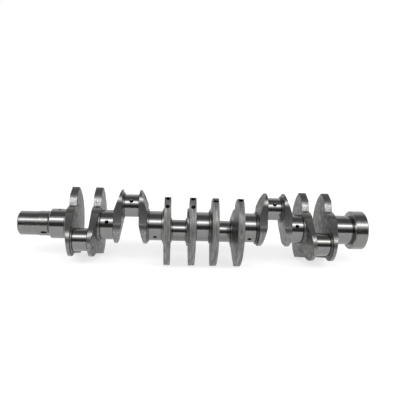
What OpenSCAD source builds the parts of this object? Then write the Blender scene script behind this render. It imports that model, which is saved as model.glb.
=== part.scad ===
// Crankshaft of a straight-six engine: seven main journals, six crankpins 120 degrees apart,
// twelve webs of which eight carry counterweights, a stepped nose and a rear flange.
// The shaft runs along X, from the nose at -X to the flange at +X, and lies on its
// counterweights with +Z up. The origin is the middle of main journal 4, on the main axis.
// Angles around the shaft are measured from +Y towards +Z.

/* [Shaft] */
// Distance from one cylinder to the next
bore_pitch = 95; // [88:1:115]
// Distance from the main axis to each crankpin axis, half the stroke
throw = 41; // [36:0.5:46]

/* [Main journals] */
// Diameter of the main journals
main_d = 60; // [52:0.5:66]
// Length of main journals 1 to 6
main_len = 27; // [22:0.5:32]
// Extra length of main journal 1 towards the nose
front_main_extra = 2.5; // [0:0.5:5]
// Extra length of main journal 7 towards the flange, for the rear oil seal
rear_main_extra = 7.5; // [3:0.5:12]

/* [Crankpins] */
// Diameter of the crankpins
pin_d = 45.5; // [40:0.5:54]
// Length of the crankpins
pin_len = 29; // [24:0.5:34]

/* [Journal ends] */
// Width of the rolled relief groove at each end of a journal
relief_w = 1.6; // [1:0.1:2.5]
// Depth of the rolled relief groove
relief_depth = 0.5; // [0.3:0.1:1]
// How far a thrust collar stands out around its journal
collar_rim = 3.5; // [2:0.5:5]
// How far a thrust collar stands off the forged cheek
collar_h = 2; // [1:0.25:2.5]

/* [Webs] */
// Radius of a counterweighted web around the crankpin
lobe_r = 33; // [30:0.5:37]
// Radius of a counterweighted web around the main journal
hub_r = 37; // [35:0.5:41]
// Width of the rim left at the tip of a counterweighted web
tip_rim = 6; // [4:0.5:8]
// Width of the rim left at the tip of a plain web
plain_tip_rim = 3; // [2:0.5:6]
// Width of the rim left at the foot of a plain web
foot_rim = 5.5; // [4:0.5:8]

/* [Plain webs] */
// Radius of the tip of a plain web
plain_tip_r = 27; // [25:0.5:32]
// Radius of the foot of a plain web
plain_foot_r = 35; // [33:0.5:39]
// How far the tip of a plain web stands to one side of the throw line
plain_tip_lean = 10; // [0:1:12]
// How far the foot of a plain web stands to the same side
plain_foot_lean = 14; // [0:1:15]

/* [Counterweights] */
// Radius of the turned counterweight rim
cw_r = 79; // [74:0.5:84]
// Thickness taken off the outer side of counterweights 5 to 8
cw_relief = 2.8; // [0:0.2:4]
// Angle from the crankpin to the counterweight middle, on the two end throws
cw_lead_end = 147; // [140:1:165]
// Angle from the crankpin to the counterweight middle, on the two middle throws
cw_lead_mid = 150; // [140:1:165]
// Angle from the counterweight middle to its corner next to the crankpin
cw_heel_angle = 65; // [55:1:68]
// Angle from the counterweight middle to its corner away from the crankpin
cw_toe_angle = 62; // [55:1:66]

/* [Balance holes] */
// Diameter of the balance holes in the rims
balance_d = 8; // [5:0.5:10]
// Depth of the balance holes
balance_depth = 14; // [6:1:20]
// Angle from the counterweight middle to the outer balance hole
balance_angle = 59; // [50:1:60]
// Angle between two balance holes in one rim
balance_step = 14; // [10:1:20]
// Diameter of the pair of small holes in web 7
trim_hole_d = 5.5; // [4:0.5:6]

/* [Nose] */
// Diameter of the outer nose seat
nose_d = 48; // [42:0.5:49]
// Length of the outer nose seat
nose_len = 40.5; // [30:0.5:50]
// Diameter of the inner nose seat
hub_seat_d = 50; // [44:0.5:51]
// Length of the inner nose seat
hub_seat_len = 18.5; // [17:0.5:30]
// Length of the cone between the nose and main journal 1
cone_len = 5; // [3:0.5:8]
// Chamfer on the end of the nose
nose_chamfer = 2.5; // [1:0.25:4]
// Distance from the step between the seats to the middle of the key slot
key_from_step = 10.5; // [9:0.5:11]
// Width of the key slot
key_w = 6; // [4:0.5:8]
// Length of the key slot
key_len = 12; // [9:0.5:16]
// Depth of the key slot
key_depth = 4; // [2:0.25:5]
// Diameter of the bore for the pulley bolt
nose_bore_d = 14; // [10:0.5:18]
// Depth of the bore for the pulley bolt
nose_bore_depth = 42; // [25:1:50]

/* [Rear flange] */
// Diameter of the flange
flange_d = 79; // [74:0.5:90]
// Thickness of the flange
flange_len = 27.5; // [20:0.5:35]
// Chamfer on both edges of the flange
flange_chamfer = 1.8; // [1:0.2:3]
// Number of tapped holes for the flywheel bolts
bolt_count = 8; // [6:1:8]
// Diameter of the bolt circle
bolt_circle_d = 57; // [54:0.5:60]
// Diameter of the tapped holes
bolt_hole_d = 8.5; // [6.8:0.1:9]
// Depth of the tapped holes
bolt_hole_depth = 20; // [14:1:22]
// Diameter of the pilot bearing bore
pilot_d = 34; // [28:0.5:36]
// Depth of the pilot bearing bore
pilot_depth = 18; // [10:1:20]

/* [Oil drillings] */
// Diameter of the drilling from a main journal to its crankpin
gallery_d = 6; // [4:0.5:7]
// Diameter of the oil holes on the journals
oil_hole_d = 5; // [4:0.5:6]
// Diameter of the countersink around an oil hole
oil_countersink_d = 8; // [6:0.5:9]
// Diameter of the plug that closes a drilling
plug_d = 8; // [7:0.5:10]
// Length of the plug
plug_len = 5; // [3:0.5:8]
// Distance from the main axis to the plugged mouth of the drilling
plug_r = 59; // [56:0.5:61]
// Angle of the oil hole on main journal 1
main_oil_angle = 93; // [88:1:98]
// Angle from one main oil hole to the next, up to the middle of the shaft
main_oil_step = 60; // [50:1:65]
// Angle from a crankpin's throw line to its oil hole
pin_oil_lead = 52; // [30:1:60]

/* [Hidden] */
$fn = 96;
cut = 0.1;
PINS = 6;
MAINS = 7;
steel = "#8f8f8d";
polished = "#b9b9b7";
forged = "#6f6f6e";

// Roll that sets the lower counterweight corners of the middle and end throws level
lie_roll = (cw_lead_mid - cw_lead_end) / 2;
THROW_ANGLES = [for (a = [210, 90, -30, -30, 90, 210]) a + lie_roll];
// The turn direction, seen along X, from a crankpin to its counterweight
CW_HANDS = [1, 0, -1, -1, 0, 1];
CW_LEADS = [cw_lead_end, 0, cw_lead_mid, cw_lead_mid, 0, cw_lead_end];

main_r = main_d / 2;
pin_r = pin_d / 2;
web_t = (bore_pitch - main_len - pin_len) / 2;
pin_x0 = -2.5 * bore_pitch;
main_x0 = -3 * bore_pitch;
nose_x = main_x0 - main_len / 2 - front_main_extra;
flange_x = -main_x0 + main_len / 2 + rear_main_extra;

// Places across a web, from the crankpin's face (0) to the main journal's face (web_t)
cheek_in = collar_h;
cheek_out = web_t - collar_h;
cheek_mid = web_t / 2;
// The two faces of each counterweight: those of webs 5 and 8 are cut back on the main journal's
// side, those of webs 6 and 7 on the crankpin's side
CW_FACES = [for (k = [1:2 * PINS]) [
    cheek_in + (k == 6 || k == 7 ? cw_relief : 0),
    cheek_out - (k == 5 || k == 8 ? cw_relief : 0)
]];
main_collar_r = main_r + collar_rim;
pin_collar_r = pin_r + collar_rim;

// A web's cheeks slope: its tip lies next to the crankpin and its foot next to the main journal
tip_x = throw + lobe_r;
tip_slope_x = 0.35 * throw;
// A plain web's tip reaches a little further, and its foot sits a little nearer the crankpin
plain_tip_x = tip_x + 1.5;
plain_foot_shift = 3;
plain_foot_x = plain_foot_shift - plain_foot_r;
foot_slope_x = 0.36 * throw;

// The straight sides of a web end a little inside its two round ends
inset = 0.985;
// The edges of a counterweight: from a notch beside the crankpin out past its heel, and from
// past its toe in by a shoulder and a crowned flank to the waist; its outline beyond the rim is
// cut off by the rim
heel_notch_angle = 70;
heel_notch = [throw, 0] + polar(0.95 * lobe_r, heel_notch_angle);
heel_overrun = 0.2;
toe_overrun = 0.4;
outline_r = 1.5 * cw_r;
outline_angle = 25;
toe_shoulder_r = 0.76 * cw_r;
toe_shoulder_lead = 14.4;
toe_flank_r = 0.61 * cw_r;
toe_flank_lead = 18.5;
waist_lead = 23;
// The small holes of web 7 stand this far back from the place of an outer balance hole
trim_hole_back = 3;
bore_mouth = 2;

// The oil drilling of a throw starts at the middle of its main journal, runs through the
// front web and the crankpin, and comes out on the rear web's sloped cheek
mouth_z = cheek_out - (plug_r - tip_slope_x) / (tip_x - tip_slope_x)
    * (cheek_out - cheek_in - tip_rim);
mouth_x = (bore_pitch + pin_len) / 2 + mouth_z;
gallery_tilt = atan2(plug_r, mouth_x);
gallery_len = norm([mouth_x, plug_r]);
plug_recess = 2.5;

function polar(r, a) = [r * cos(a), r * sin(a)];
function pin_x(k) = pin_x0 + (k - 1) * bore_pitch;
function main_x(k) = main_x0 + (k - 1) * bore_pitch;
// Oil holes turn by one step from each main journal to the next, up to the middle one
function main_oil(k) = lie_roll + main_oil_angle + main_oil_step * (MAINS - 4 - abs(k - 4));

// Stands a shape that is drawn up the Z axis along the shaft, from x towards the flange
module along_shaft(x) {
    translate([x, 0, 0])
        rotate([90, 0, 90])
            children();
}

// A ground journal with a rolled relief groove at each end that has one
module journal(d, len, front_relief = true, rear_relief = true) {
    r = d / 2;
    front = front_relief ? relief_depth : 0;
    rear = rear_relief ? relief_depth : 0;
    rotate_extrude()
        polygon([
            [0, 0],
            [r - front, 0],
            [r - front, relief_w / 2],
            [r, relief_w],
            [r, len - relief_w],
            [r - rear, len - relief_w / 2],
            [r - rear, len],
            [0, len]
        ]);
}

// A cross-hole with its countersink, from a journal's axis out through its surface
module oil_hole(r, z, angle) {
    countersink = (oil_countersink_d - oil_hole_d) / 2;
    translate([0, 0, z])
        rotate([0, 90, angle]) {
            cylinder(d = oil_hole_d, h = r + cut);
            translate([0, 0, r - countersink])
                cylinder(d1 = oil_hole_d, d2 = oil_hole_d + 4 * countersink, h = 2 * countersink);
        }
}

// A length of the oil drilling of throw k, measured from the middle of its main journal
module gallery(k, d, from, to) {
    translate([main_x(k), 0, 0])
        rotate([THROW_ANGLES[k - 1], 0, 0])
            rotate([0, 0, gallery_tilt])
                rotate([0, 90, 0])
                    translate([0, 0, from])
                        cylinder(d = d, h = to - from);
}

module gallery_cut(k) {
    gallery(k, gallery_d, -gallery_d / 2, gallery_len + plug_d);
    gallery(k, plug_d, gallery_len - plug_recess - plug_len, gallery_len + plug_d);
}

module main_journal(k) {
    front = main_len / 2 + (k == 1 ? front_main_extra : 0);
    rear = main_len / 2 + (k == MAINS ? rear_main_extra : 0);
    color(polished)
        difference() {
            along_shaft(main_x(k) - front)
                difference() {
                    journal(main_d, front + rear, front_relief = k > 1);
                    if (k < MAINS)
                        oil_hole(main_r, front, main_oil(k));
                }
            if (k < MAINS)
                gallery_cut(k);
        }
}

module crankpin(k) {
    a = THROW_ANGLES[k - 1];
    color(polished)
        difference() {
            along_shaft(pin_x(k) - pin_len / 2)
                translate(polar(throw, a))
                    difference() {
                        journal(pin_d, pin_len);
                        oil_hole(pin_r, pin_len / 2, a + pin_oil_lead);
                    }
            gallery_cut(k);
        }
}

// Two round ends, a foot and a tip, joined by their tangents
module web_body(foot, foot_r, tip, tip_r) {
    reach = tip - foot;
    heading = atan2(reach[1], reach[0]);
    spread = acos((foot_r - tip_r) / norm(reach));
    translate(foot)
        cylinder(r = foot_r, h = web_t);
    translate(tip)
        cylinder(r = tip_r, h = web_t);
    linear_extrude(web_t)
        polygon([
            foot + polar(inset * foot_r, heading + spread),
            foot + polar(inset * foot_r, heading - spread),
            tip + polar(inset * tip_r, heading - spread),
            tip + polar(inset * tip_r, heading + spread)
        ]);
}

// The counterweight: a turned rim between its heel, by the crankpin, and its toe
module counterweight(lead, faces) {
    heel = polar(cw_r, lead - cw_heel_angle);
    toe = polar(cw_r, lead + cw_toe_angle);
    toe_shoulder = polar(toe_shoulder_r, lead + cw_toe_angle + toe_shoulder_lead);
    toe_flank = polar(toe_flank_r, lead + cw_toe_angle + toe_flank_lead);
    waist = polar(inset * hub_r, lead + cw_toe_angle + waist_lead);
    thickness = faces[1] - faces[0];
    translate([0, 0, faces[0]])
        intersection() {
            cylinder(r = cw_r, h = thickness);
            linear_extrude(thickness)
                polygon([
                    heel_notch,
                    heel + heel_overrun * (heel - heel_notch),
                    polar(outline_r, lead - outline_angle),
                    polar(outline_r, lead + outline_angle),
                    toe + toe_overrun * (toe - toe_shoulder),
                    toe_shoulder,
                    toe_flank,
                    waist,
                    [0, 0],
                    [throw, 0]
                ]);
        }
}

// Extrudes a side view of a web, drawn as [x, z], over more than the web's breadth
module side_view(points) {
    rotate([90, 0, 0])
        translate([0, 0, -2 * cw_r])
            linear_extrude(4 * cw_r)
                polygon(points);
}

// A radial balance hole in a counterweight's rim
module balance_hole(d, angle, z) {
    rotate([0, 0, angle])
        translate([cw_r - balance_depth, 0, z])
            rotate([0, 90, 0])
                cylinder(d = d, h = balance_depth + 1);
}

module balance_holes(k, lead) {
    rim_mid = (CW_FACES[k - 1][0] + CW_FACES[k - 1][1]) / 2;
    if (k == 5 || k == 6 || k == 8)
        balance_hole(balance_d, lead + balance_angle, rim_mid);
    if (k == 5 || k == 6)
        balance_hole(balance_d, lead + balance_angle - balance_step, rim_mid);
    if (k == 7)
        for (side = [-0.4, 0.4])
            balance_hole(
                trim_hole_d, lead + balance_angle - trim_hole_back, rim_mid + side * trim_hole_d
            );
}

// Both kinds of web lie in their own place: the crankpin's face at z = 0, the throw along X
module plain_web() {
    intersection() {
        web_body(
            [plain_foot_shift, plain_foot_lean], plain_foot_r,
            [plain_tip_x - plain_tip_r, plain_tip_lean], plain_tip_r
        );
        side_view([
            [plain_foot_x - cut, cheek_out - foot_rim],
            [foot_slope_x, cheek_in],
            [plain_tip_x + cut, cheek_in],
            [plain_tip_x + cut, cheek_in + plain_tip_rim],
            [throw, cheek_out],
            [plain_foot_x - cut, cheek_out]
        ]);
    }
    translate([throw, 0, 0])
        cylinder(r = pin_collar_r, h = cheek_in + plain_tip_rim);
    translate([0, 0, cheek_out - foot_rim])
        cylinder(r = main_collar_r, h = web_t - cheek_out + foot_rim);
}

module counterweighted_web(lead, faces) {
    intersection() {
        union() {
            web_body([0, 0], hub_r, [throw, 0], lobe_r);
            counterweight(lead, faces);
        }
        side_view([
            [-2 * cw_r, cheek_in],
            [tip_x + cut, cheek_in],
            [tip_x + cut, cheek_in + tip_rim],
            [tip_slope_x, cheek_out],
            [-2 * cw_r, cheek_out]
        ]);
    }
    translate([throw, 0, 0])
        cylinder(r = pin_collar_r, h = cheek_in + 1);
    translate([0, 0, cheek_mid])
        cylinder(r = main_collar_r, h = web_t - cheek_mid);
}

module web(k) {
    j = ceil(k / 2);
    is_rear = k % 2 == 0;
    pin_face = pin_x(j) + (is_rear ? 1 : -1) * pin_len / 2;
    lead = CW_LEADS[j - 1];
    color(forged)
        difference() {
            along_shaft(pin_face)
                mirror([0, 0, is_rear ? 0 : 1])
                    rotate([0, 0, THROW_ANGLES[j - 1]])
                        mirror([0, CW_HANDS[j - 1] < 0 ? 1 : 0, 0])
                            difference() {
                                if (lead == 0)
                                    plain_web();
                                else
                                    counterweighted_web(lead, CW_FACES[k - 1]);
                                balance_holes(k, lead);
                            }
            gallery_cut(j);
        }
}

// The slot for the pulley's key, in line with crankpin 1
module key_slot() {
    run = key_len - key_w;
    rotate([0, 90, THROW_ANGLES[0]])
        translate([0, 0, hub_seat_d / 2 - key_depth]) {
            for (end = [-1, 1])
                translate([end * run / 2, 0, 0])
                    cylinder(d = key_w, h = key_depth + 1);
            translate([-run / 2, -key_w / 2, 0])
                cube([run, key_w, key_depth + 1]);
        }
}

module nose() {
    seat_r = nose_d / 2;
    hub_r2 = hub_seat_d / 2;
    seats = nose_len + hub_seat_len;
    color(steel)
        along_shaft(nose_x - seats - cone_len)
            difference() {
                rotate_extrude()
                    polygon([
                        [0, 0],
                        [seat_r - nose_chamfer, 0],
                        [seat_r, nose_chamfer],
                        [seat_r, nose_len - relief_w],
                        [seat_r - relief_depth, nose_len - relief_w],
                        [seat_r - relief_depth, nose_len],
                        [hub_r2, nose_len],
                        [hub_r2, seats - relief_w],
                        [hub_r2 - relief_depth, seats - relief_w],
                        [hub_r2 - relief_depth, seats],
                        [main_r, seats + cone_len],
                        [0, seats + cone_len]
                    ]);
                translate([0, 0, -cut])
                    cylinder(d = nose_bore_d, h = nose_bore_depth + cut);
                translate([0, 0, -cut])
                    cylinder(d1 = nose_bore_d + 2 * bore_mouth, d2 = nose_bore_d, h = bore_mouth);
                translate([0, 0, nose_len + key_from_step])
                    key_slot();
            }
}

module rear_flange() {
    r = flange_d / 2;
    color(steel)
        along_shaft(flange_x)
            difference() {
                rotate_extrude()
                    polygon([
                        [0, 0],
                        [r - flange_chamfer, 0],
                        [r, flange_chamfer],
                        [r, flange_len - flange_chamfer],
                        [r - flange_chamfer, flange_len],
                        [0, flange_len]
                    ]);
                translate([0, 0, flange_len - pilot_depth])
                    cylinder(d = pilot_d, h = pilot_depth + cut);
                for (i = [0:bolt_count - 1])
                    translate(concat(
                        polar(bolt_circle_d / 2, (i + 0.5) * 360 / bolt_count),
                        [flange_len - bolt_hole_depth]
                    ))
                        cylinder(d = bolt_hole_d, h = bolt_hole_depth + cut);
            }
}

module oil_gallery_plugs() {
    plug_out = gallery_len - plug_recess;
    color(steel)
        for (k = [1:PINS])
            gallery(k, plug_d, plug_out - plug_len, plug_out);
}

nose();
for (k = [1:MAINS])
    main_journal(k);
for (k = [1:PINS])
    crankpin(k);
for (k = [1:2 * PINS])
    web(k);
rear_flange();
oil_gallery_plugs();
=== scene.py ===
import bpy
import math
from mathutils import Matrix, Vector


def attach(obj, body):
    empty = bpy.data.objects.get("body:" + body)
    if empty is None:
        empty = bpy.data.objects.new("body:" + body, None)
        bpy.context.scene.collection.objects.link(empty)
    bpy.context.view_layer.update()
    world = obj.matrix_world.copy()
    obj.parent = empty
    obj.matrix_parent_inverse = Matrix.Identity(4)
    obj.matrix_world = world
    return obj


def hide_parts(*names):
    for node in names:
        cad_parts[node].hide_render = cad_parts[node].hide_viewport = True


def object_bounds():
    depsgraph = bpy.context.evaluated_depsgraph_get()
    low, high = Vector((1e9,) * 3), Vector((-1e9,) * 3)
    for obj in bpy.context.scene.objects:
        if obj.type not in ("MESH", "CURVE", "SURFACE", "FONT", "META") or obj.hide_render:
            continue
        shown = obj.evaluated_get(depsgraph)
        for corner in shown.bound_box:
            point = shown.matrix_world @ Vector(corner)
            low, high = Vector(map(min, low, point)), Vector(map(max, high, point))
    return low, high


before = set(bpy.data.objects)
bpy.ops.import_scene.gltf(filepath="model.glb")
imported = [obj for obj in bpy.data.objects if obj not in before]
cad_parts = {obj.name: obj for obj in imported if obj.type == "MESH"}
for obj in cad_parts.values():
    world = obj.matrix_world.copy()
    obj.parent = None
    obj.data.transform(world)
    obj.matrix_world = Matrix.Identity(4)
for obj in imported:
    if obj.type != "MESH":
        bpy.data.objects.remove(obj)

cad_low, cad_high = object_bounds()
bpy.ops.object.select_all(action="DESELECT")


# The camera stands in front of the crankshaft and a little above it, near
# enough that the webs at both ends turn their inner faces towards it.

camera_data = bpy.data.cameras.new("camera")
camera = bpy.data.objects.new("camera", camera_data)
bpy.context.scene.collection.objects.link(camera)
camera.location = (-0.0554, -0.8686, 0.2464)
camera.rotation_euler = (
    math.radians(77.645), math.radians(-2.149), math.radians(-2.748))
camera_data.sensor_width = 36
camera_data.lens = 39.6
camera_data.clip_start = 0.05
camera_data.clip_end = 40
bpy.context.scene.camera = camera


# The main journals and crankpins are forged steel, induction hardened, ground
# on a cylindrical grinder and polished with a lapping band. The stone leaves
# fine rings round each journal, and the lapping leaves it nearly a mirror.

def hex_color(code):
    channels = [int(code[i:i + 2], 16) / 255 for i in (1, 3, 5)]
    linear = [c / 12.92 if c <= 0.04045 else ((c + 0.055) / 1.055) ** 2.4
              for c in channels]
    return (*linear, 1)


def add_node(tree, kind, settings=None, values=None, links=None):
    node = tree.nodes.new(kind)
    for name, value in (settings or {}).items():
        setattr(node, name, value)
    for name, value in (values or {}).items():
        node.inputs[name].default_value = value
    for name, source in (links or {}).items():
        tree.links.new(source, node.inputs[name])
    return node


def set_ramp(ramp_node, stops):
    ramp = ramp_node.color_ramp
    while len(ramp.elements) > 1:
        ramp.elements.remove(ramp.elements[-1])
    ramp.elements[0].position, ramp.elements[0].color = stops[0]
    for position, color in stops[1:]:
        ramp.elements.new(position).color = color


# Lapped bearing steel: a dark mirror with rings about a millimetre apart,
# drawn coarser than the real grinding marks so that they show, and a faint
# warm film of oil in patches a couple of centimetres across. A low run number
# stretches the rings round the journal, so that they hardly change on the way.
RING_SPACING = 0.0011
RING_RUN = 12
OIL_PATCH = 0.022
journal_steel = bpy.data.materials.new("ground and lapped journal steel")
journal_steel.use_nodes = True
tree = journal_steel.node_tree
shader = tree.nodes["Principled BSDF"]
shader.inputs["Metallic"].default_value = 1
place = add_node(tree, "ShaderNodeTexCoord")
along = add_node(tree, "ShaderNodeMapping", None,
                 {"Scale": (1 / RING_SPACING, RING_RUN, RING_RUN)},
                 {"Vector": place.outputs["Object"]})
rings = add_node(tree, "ShaderNodeTexNoise", None,
                 {"Scale": 1, "Detail": 3, "Roughness": 0.6},
                 {"Vector": along.outputs["Vector"]})
patches = add_node(tree, "ShaderNodeTexNoise", None,
                   {"Scale": 1 / OIL_PATCH, "Detail": 3, "Roughness": 0.55},
                   {"Vector": place.outputs["Object"]})
film = add_node(tree, "ShaderNodeValToRGB", None, None,
                {"Fac": patches.outputs["Fac"]})
set_ramp(film, [(0.35, hex_color("#898888")), (0.6, hex_color("#858585")),
                (0.75, hex_color("#86827b"))])
ring_tone = add_node(tree, "ShaderNodeMapRange", None,
                     {"From Min": 0.3, "From Max": 0.7,
                      "To Min": 0.93, "To Max": 1.05},
                     {"Value": rings.outputs["Fac"]})
toned = add_node(tree, "ShaderNodeVectorMath", {"operation": "SCALE"}, None,
                 {"Vector": film.outputs["Color"],
                  "Scale": ring_tone.outputs["Result"]})
ring_gloss = add_node(tree, "ShaderNodeMapRange", None,
                      {"From Min": 0.3, "From Max": 0.7,
                       "To Min": 0.11, "To Max": 0.19},
                      {"Value": rings.outputs["Fac"]})
ring_bump = add_node(tree, "ShaderNodeBump", None,
                     {"Strength": 0.12, "Distance": 0.00005},
                     {"Height": rings.outputs["Fac"]})
tree.links.new(toned.outputs["Vector"], shader.inputs["Base Color"])
tree.links.new(ring_gloss.outputs["Result"], shader.inputs["Roughness"])
tree.links.new(ring_bump.outputs["Normal"], shader.inputs["Normal"])

for k in range(1, 8):
    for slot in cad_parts[f"main_journal_{k}"].material_slots:
        slot.material = journal_steel
for k in range(1, 7):
    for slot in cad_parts[f"crankpin_{k}"].material_slots:
        slot.material = journal_steel


# The nose is turned and then ground on its two seats, where the timing gear
# and the pulley press on. The rear flange is turned all over and ground on its
# rim, where the oil seal of the gearbox end runs close.

# Turned steel: rings about two millimetres apart from the feed of the tool,
# a little duller than the journals and with light scuffs from fitting parts.
FEED_RINGS = 0.002
FEED_RUN = 10
SCUFF = 0.006
turned_steel = bpy.data.materials.new("turned and ground seat steel")
turned_steel.use_nodes = True
tree = turned_steel.node_tree
shader = tree.nodes["Principled BSDF"]
shader.inputs["Metallic"].default_value = 1
place = add_node(tree, "ShaderNodeTexCoord")
along = add_node(tree, "ShaderNodeMapping", None,
                 {"Scale": (1 / FEED_RINGS, FEED_RUN, FEED_RUN)},
                 {"Vector": place.outputs["Object"]})
rings = add_node(tree, "ShaderNodeTexNoise", None,
                 {"Scale": 1, "Detail": 4, "Roughness": 0.65},
                 {"Vector": along.outputs["Vector"]})
scuffs = add_node(tree, "ShaderNodeTexNoise", None,
                  {"Scale": 1 / SCUFF, "Detail": 4, "Roughness": 0.6},
                  {"Vector": place.outputs["Object"]})
tone = add_node(tree, "ShaderNodeValToRGB", None, None,
                {"Fac": rings.outputs["Fac"]})
set_ramp(tone, [(0.3, hex_color("#7a7a79")), (0.5, hex_color("#838382")),
                (0.7, hex_color("#8c8c8b"))])
gloss = add_node(tree, "ShaderNodeMapRange", None,
                 {"From Min": 0.3, "From Max": 0.7,
                  "To Min": 0.14, "To Max": 0.28},
                 {"Value": scuffs.outputs["Fac"]})
ring_bump = add_node(tree, "ShaderNodeBump", None,
                     {"Strength": 0.2, "Distance": 0.00008},
                     {"Height": rings.outputs["Fac"]})
tree.links.new(tone.outputs["Color"], shader.inputs["Base Color"])
tree.links.new(gloss.outputs["Result"], shader.inputs["Roughness"])
tree.links.new(ring_bump.outputs["Normal"], shader.inputs["Normal"])

for name in ("nose", "rear_flange"):
    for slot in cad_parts[name].material_slots:
        slot.material = turned_steel


# Each oil drilling is closed by a steel plug that is pressed in and staked.
# The plugs are cut from bright drawn bar and have dulled in hot oil.

# Drawn bar steel: even and satin, with a darker tarnish in millimetre specks.
TARNISH = 0.0015
plug_steel = bpy.data.materials.new("drawn bar plug steel")
plug_steel.use_nodes = True
tree = plug_steel.node_tree
shader = tree.nodes["Principled BSDF"]
shader.inputs["Metallic"].default_value = 1
place = add_node(tree, "ShaderNodeTexCoord")
specks = add_node(tree, "ShaderNodeTexNoise", None,
                  {"Scale": 1 / TARNISH, "Detail": 3, "Roughness": 0.6},
                  {"Vector": place.outputs["Object"]})
tone = add_node(tree, "ShaderNodeValToRGB", None, None,
                {"Fac": specks.outputs["Fac"]})
set_ramp(tone, [(0.35, hex_color("#6e6c69")), (0.65, hex_color("#9a9a98"))])
gloss = add_node(tree, "ShaderNodeMapRange", None,
                 {"To Min": 0.25, "To Max": 0.45},
                 {"Value": specks.outputs["Fac"]})
tree.links.new(tone.outputs["Color"], shader.inputs["Base Color"])
tree.links.new(gloss.outputs["Result"], shader.inputs["Roughness"])
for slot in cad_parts["oil_gallery_plugs"].material_slots:
    slot.material = plug_steel


# The webs are left as forged and shot blasted on their cheeks. The rims of the
# counterweights are turned, and the corners are broken by hand with a grinder.
# Every web is rounded along its edges, as a forging and a deburred rim are.

# Shot-blasted forging steel: dark matt grey, dimpled a few millimetres across
# and mottled with lighter patches where the scale came off.
DIMPLE = 0.0022
SCALE_PATCH = 0.007
PATCH_STRETCH = (1.6, 1, 0.6)
forged_steel = bpy.data.materials.new("shot blasted forged steel")
forged_steel.use_nodes = True
tree = forged_steel.node_tree
shader = tree.nodes["Principled BSDF"]
shader.inputs["Metallic"].default_value = 1
place = add_node(tree, "ShaderNodeTexCoord")
upright = add_node(tree, "ShaderNodeMapping", None,
                   {"Scale": PATCH_STRETCH},
                   {"Vector": place.outputs["Object"]})
dimples = add_node(tree, "ShaderNodeTexNoise", None,
                   {"Scale": 1 / DIMPLE, "Detail": 4, "Roughness": 0.6},
                   {"Vector": place.outputs["Object"]})
patches = add_node(tree, "ShaderNodeTexNoise", None,
                   {"Scale": 1 / SCALE_PATCH, "Detail": 5, "Roughness": 0.65},
                   {"Vector": upright.outputs["Vector"]})
tone = add_node(tree, "ShaderNodeValToRGB", None, None,
                {"Fac": patches.outputs["Fac"]})
set_ramp(tone, [(0.3, hex_color("#4f4f4e")), (0.5, hex_color("#676766")),
                (0.72, hex_color("#90908e"))])
gloss = add_node(tree, "ShaderNodeMapRange", None,
                 {"From Min": 0.3, "From Max": 0.7,
                  "To Min": 0.55, "To Max": 0.36},
                 {"Value": patches.outputs["Fac"]})
dimple_bump = add_node(tree, "ShaderNodeBump", None,
                       {"Strength": 0.55, "Distance": 0.0005},
                       {"Height": dimples.outputs["Fac"]})
tree.links.new(tone.outputs["Color"], shader.inputs["Base Color"])
tree.links.new(gloss.outputs["Result"], shader.inputs["Roughness"])
tree.links.new(dimple_bump.outputs["Normal"], shader.inputs["Normal"])

# Turned rim steel: lighter and dull satin, with streaks that run round the
# rim, two or three millimetres wide and a couple of centimetres long.
STREAK_WIDTH = 0.0024
STREAK_LENGTH = 0.02
rim_steel = bpy.data.materials.new("turned counterweight rim steel")
rim_steel.use_nodes = True
tree = rim_steel.node_tree
shader = tree.nodes["Principled BSDF"]
shader.inputs["Metallic"].default_value = 1
place = add_node(tree, "ShaderNodeTexCoord")
round_rim = add_node(
    tree, "ShaderNodeMapping", None,
    {"Scale": (1 / STREAK_WIDTH, 1 / STREAK_LENGTH, 1 / STREAK_LENGTH)},
    {"Vector": place.outputs["Object"]})
streaks = add_node(tree, "ShaderNodeTexNoise", None,
                   {"Scale": 1, "Detail": 4, "Roughness": 0.6},
                   {"Vector": round_rim.outputs["Vector"]})
tone = add_node(tree, "ShaderNodeValToRGB", None, None,
                {"Fac": streaks.outputs["Fac"]})
set_ramp(tone, [(0.28, hex_color("#60605f")), (0.5, hex_color("#7c7c7b")),
                (0.72, hex_color("#a4a4a1"))])
gloss = add_node(tree, "ShaderNodeMapRange", None,
                 {"From Min": 0.3, "From Max": 0.7,
                  "To Min": 0.62, "To Max": 0.5},
                 {"Value": streaks.outputs["Fac"]})
streak_bump = add_node(tree, "ShaderNodeBump", None,
                       {"Strength": 0.3, "Distance": 0.0002},
                       {"Height": streaks.outputs["Fac"]})
tree.links.new(tone.outputs["Color"], shader.inputs["Base Color"])
tree.links.new(gloss.outputs["Result"], shader.inputs["Roughness"])
tree.links.new(streak_bump.outputs["Normal"], shader.inputs["Normal"])

# Linished steel: the contour of a web, dressed along its edge with a belt that
# leaves it brighter than the cheeks, with grit marks a few millimetres long.
GRIT_MARK = 0.0035
linished_steel = bpy.data.materials.new("linished web edge steel")
linished_steel.use_nodes = True
tree = linished_steel.node_tree
shader = tree.nodes["Principled BSDF"]
shader.inputs["Metallic"].default_value = 1
place = add_node(tree, "ShaderNodeTexCoord")
marks = add_node(tree, "ShaderNodeTexNoise", None,
                 {"Scale": 1 / GRIT_MARK, "Detail": 4, "Roughness": 0.6},
                 {"Vector": place.outputs["Object"]})
tone = add_node(tree, "ShaderNodeValToRGB", None, None,
                {"Fac": marks.outputs["Fac"]})
set_ramp(tone, [(0.3, hex_color("#6c6c6b")), (0.5, hex_color("#818180")),
                (0.7, hex_color("#9e9e9c"))])
gloss = add_node(tree, "ShaderNodeMapRange", None,
                 {"From Min": 0.3, "From Max": 0.7,
                  "To Min": 0.4, "To Max": 0.24},
                 {"Value": marks.outputs["Fac"]})
mark_bump = add_node(tree, "ShaderNodeBump", None,
                     {"Strength": 0.3, "Distance": 0.0003},
                     {"Height": marks.outputs["Fac"]})
tree.links.new(tone.outputs["Color"], shader.inputs["Base Color"])
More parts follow.
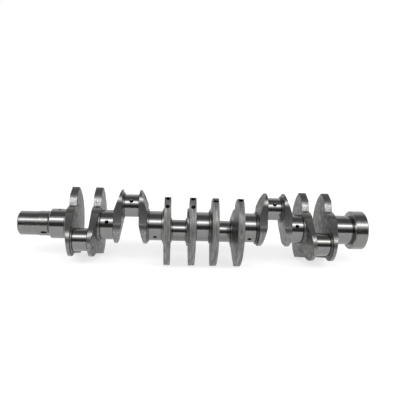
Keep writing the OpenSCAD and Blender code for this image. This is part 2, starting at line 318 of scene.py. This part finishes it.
tree.links.new(gloss.outputs["Result"], shader.inputs["Roughness"])
tree.links.new(mark_bump.outputs["Normal"], shader.inputs["Normal"])

# Corners flatter than the crown angle are rounded by the die, so they shade as
# one surface; sharper ones get a real rounded edge. A face further out than the
# edge of the rim is turned, and one that looks along the shaft is a cheek.
PLAIN_WEBS = (3, 4, 9, 10)
FORGED_EDGE = 0.0014
DEBURRED_EDGE = 0.0009
CROWN_ANGLE = math.radians(38)
SAME_PLACE = 0.00002
SAME_PLANE = math.radians(0.2)
RIM_EDGE = cad_high.y - 0.0012
CHEEK_SLOPE = 0.5
CHEEK, RIM, CONTOUR = 0, 1, 2
for k in range(1, 13):
    bpy.ops.object.select_all(action="DESELECT")
    cad_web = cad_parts[f"web_{k}"]
    cad_web.select_set(True)
    bpy.context.view_layer.objects.active = cad_web
    bpy.ops.object.duplicate()
    web = bpy.context.object
    web.name = f"finished_web_{k}"
    bpy.ops.object.mode_set(mode="EDIT")
    bpy.ops.mesh.select_all(action="SELECT")
    bpy.ops.mesh.remove_doubles(threshold=SAME_PLACE)
    bpy.ops.mesh.customdata_custom_splitnormals_clear()
    bpy.ops.mesh.dissolve_limited(angle_limit=SAME_PLANE)
    bpy.ops.object.mode_set(mode="OBJECT")
    bpy.ops.object.shade_smooth_by_angle(angle=CROWN_ANGLE)
    edge = web.modifiers.new("rounded edges", "BEVEL")
    edge.width = FORGED_EDGE if k in PLAIN_WEBS else DEBURRED_EDGE
    edge.segments = 2
    edge.limit_method = "ANGLE"
    edge.angle_limit = CROWN_ANGLE
    edge.harden_normals = True
    bpy.ops.object.modifier_apply(modifier=edge.name)
    web.data.materials.clear()
    for finish in (forged_steel, rim_steel, linished_steel):
        web.data.materials.append(finish)
    for face in web.data.polygons:
        if abs(face.normal.x) > CHEEK_SLOPE:
            face.material_index = CHEEK
        elif math.hypot(face.center.y, face.center.z) > RIM_EDGE:
            face.material_index = RIM
        else:
            face.material_index = CONTOUR
    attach(web, "root")
    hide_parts(f"web_{k}")


# The floor is a plain sheet of milky acrylic, lit from below. The studio round
# it is a soft tent: a long white panel in front and above, grey paper overhead
# and behind, and a dark gap low in front, which steel shows as long bands.

# The sheet ends close in front of the shaft, where the dark gap begins.
SHEET_SIDE = 6
SHEET_FRONT = 0.6

bpy.ops.mesh.primitive_plane_add(size=1, location=(0, 0, 0))
floor = bpy.context.object
floor.name = "floor"
bpy.ops.object.mode_set(mode="EDIT")
bpy.ops.mesh.select_all(action="SELECT")
bpy.ops.transform.resize(value=(SHEET_SIDE, SHEET_SIDE, 1))
bpy.ops.transform.translate(
    value=(0, SHEET_SIDE / 2 - SHEET_FRONT, cad_low.z))
bpy.ops.object.mode_set(mode="OBJECT")

# Milky acrylic: its own light fills most of the shadow, and its surface has a
# fine matt tooth, under a millimetre, that barely shows.
TOOTH = 0.0008
acrylic = bpy.data.materials.new("milky acrylic sheet")
acrylic.use_nodes = True
tree = acrylic.node_tree
shader = tree.nodes["Principled BSDF"]
shader.inputs["Roughness"].default_value = 0.9
shader.inputs["Emission Color"].default_value = (1, 1, 1, 1)
shader.inputs["Emission Strength"].default_value = 0.68
place = add_node(tree, "ShaderNodeTexCoord")
tooth = add_node(tree, "ShaderNodeTexNoise", None,
                 {"Scale": 1 / TOOTH, "Detail": 2},
                 {"Vector": place.outputs["Object"]})
tone = add_node(tree, "ShaderNodeValToRGB", None, None,
                {"Fac": tooth.outputs["Fac"]})
set_ramp(tone, [(0.3, hex_color("#aeaeae")), (0.7, hex_color("#b2b2b2"))])
tree.links.new(tone.outputs["Color"], shader.inputs["Base Color"])
floor.data.materials.append(acrylic)

# The tent runs the length of the shaft, so what it sends depends only on how
# high it stands: from 0 degrees in front, over the top, to 180 degrees behind.
# Each pair is an angle and the light from there, and between pairs it blends.
world = bpy.data.worlds.new("studio tent")
bpy.context.scene.world = world
world.use_nodes = True
tree = world.node_tree
tent = tree.nodes["Background"]
direction = add_node(tree, "ShaderNodeTexCoord")
parts = add_node(tree, "ShaderNodeSeparateXYZ", None, None,
                 {"Vector": direction.outputs["Generated"]})
forward = add_node(tree, "ShaderNodeMath", {"operation": "MULTIPLY"},
                   {1: -1.0}, {0: parts.outputs["Y"]})
height = add_node(tree, "ShaderNodeMath", {"operation": "ARCTAN2"}, None,
                  {0: parts.outputs["Z"], 1: forward.outputs["Value"]})
turn = add_node(tree, "ShaderNodeMath", {"operation": "DIVIDE"},
                {1: math.pi}, {0: height.outputs["Value"]})
panels = add_node(tree, "ShaderNodeValToRGB", None, None,
                  {"Fac": turn.outputs["Value"]})
BRIGHTEST = 6.0
tent_light = [
    (0, 0.07), (21, 0.09), (26, 0.5), (30, 0.9), (37, 1.3), (42, 3.0),
    (46, 5.6), (51, 5.6), (55, 3.0), (59, 1.2), (67, 0.7), (73, 0.22),
    (108, 0.20), (120, 0.5), (136, 1.0), (158, 0.9), (180, 0.8)]
set_ramp(panels, [(angle / 180, (*[light / BRIGHTEST] * 3, 1))
                  for angle, light in tent_light])
tree.links.new(panels.outputs["Color"], tent.inputs["Color"])
tent.inputs["Strength"].default_value = BRIGHTEST

# What shows behind the shaft is plain white paper, not the panels.
paper_wall = add_node(tree, "ShaderNodeBackground", None,
                      {"Color": (1, 1, 1, 1), "Strength": 1.0})
light_path = add_node(tree, "ShaderNodeLightPath")
seen = add_node(tree, "ShaderNodeMixShader", None, None,
                {0: light_path.outputs["Is Camera Ray"],
                 1: tent.outputs["Background"],
                 2: paper_wall.outputs["Background"]})
tree.links.new(seen.outputs["Shader"],
               tree.nodes["World Output"].inputs["Surface"])
bpy.context.scene.view_settings.view_transform = "Standard"
